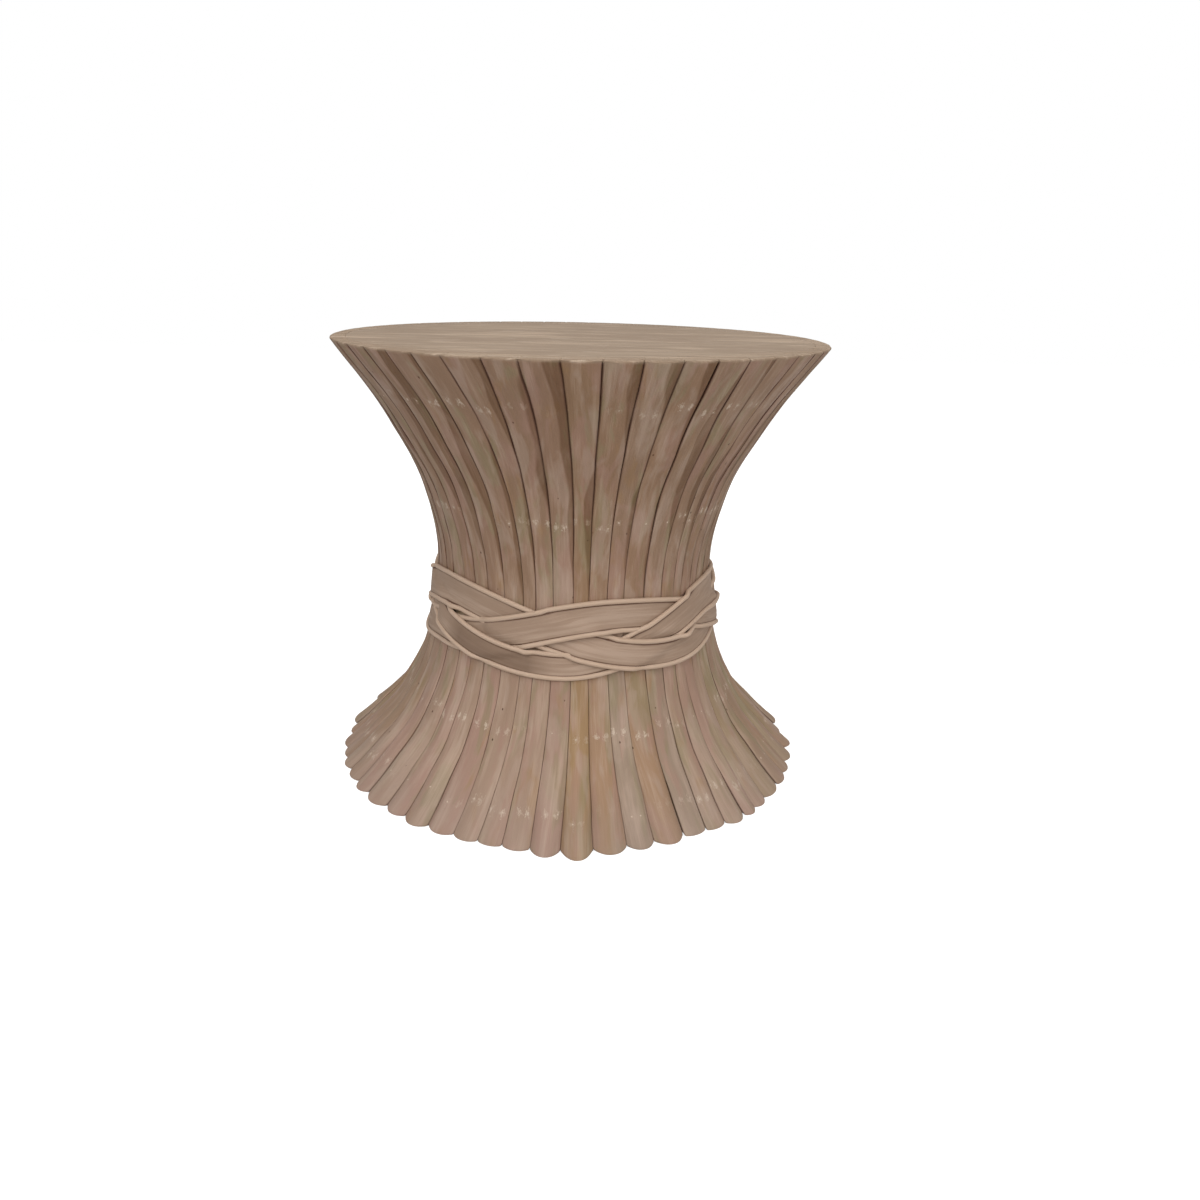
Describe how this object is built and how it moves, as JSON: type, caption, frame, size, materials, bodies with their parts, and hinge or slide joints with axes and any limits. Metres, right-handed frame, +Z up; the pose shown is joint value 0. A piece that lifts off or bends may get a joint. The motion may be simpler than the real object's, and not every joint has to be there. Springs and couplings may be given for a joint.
{
  "type": "split rattan pedestal side table shaped like a wheat sheaf",
  "caption": "Round pedestal side table of split rattan poles that flare from a narrow waist like a tied wheat sheaf, with a plaited strap band and a flat top.",
  "frame": {"origin": "centre of the table's box on the floor", "axes": "+Z up, the table's shortest side; -Y is the side that the picture faces and +X its right"},
  "size_m": [0.6299, 0.6356, 0.55],
  "materials": {
    "rattan": "split rattan with its skin on, rubbed with a thin grey-white wash, matt",
    "board": "whitewashed board, brushed in one direction, satin",
    "inner": "bare bent wood",
    "strap": "flat rattan strips with a round reed along each edge, whitewashed, matt"
  },
  "bodies": {
    "root": {"stave_01": "rattan", "stave_02": "rattan", "stave_03": "rattan", "stave_04": "rattan", "stave_05": "rattan", "stave_06": "rattan", "stave_07": "rattan", "stave_08": "rattan", "stave_09": "rattan", "stave_10": "rattan", "stave_11": "rattan", "stave_12": "rattan", "stave_13": "rattan", "stave_14": "rattan", "stave_15": "rattan", "stave_16": "rattan", "stave_17": "rattan", "stave_18": "rattan", "stave_19": "rattan", "stave_20": "rattan", "stave_21": "rattan", "stave_22": "rattan", "stave_23": "rattan", "stave_24": "rattan", "stave_25": "rattan", "stave_26": "rattan", "stave_27": "rattan", "stave_28": "rattan", "stave_29": "rattan", "stave_30": "rattan", "stave_31": "rattan", "stave_32": "rattan", "stave_33": "rattan", "stave_34": "rattan", "stave_35": "rattan", "stave_36": "rattan", "stave_37": "rattan", "stave_38": "rattan", "stave_39": "rattan", "stave_40": "rattan", "stave_41": "rattan", "stave_42": "rattan", "stave_43": "rattan", "stave_44": "rattan", "stave_45": "rattan", "stave_46": "rattan", "stave_47": "rattan", "stave_48": "rattan", "stave_49": "rattan", "stave_50": "rattan", "stave_51": "rattan", "stave_52": "rattan", "top_board": "board", "foot_hoop": "inner", "lower_hoop": "inner", "upper_hoop": "inner", "head_hoop": "inner", "strap_a": "strap", "strap_b": "strap", "strap_c": "strap"}
  },
  "joints": []
}
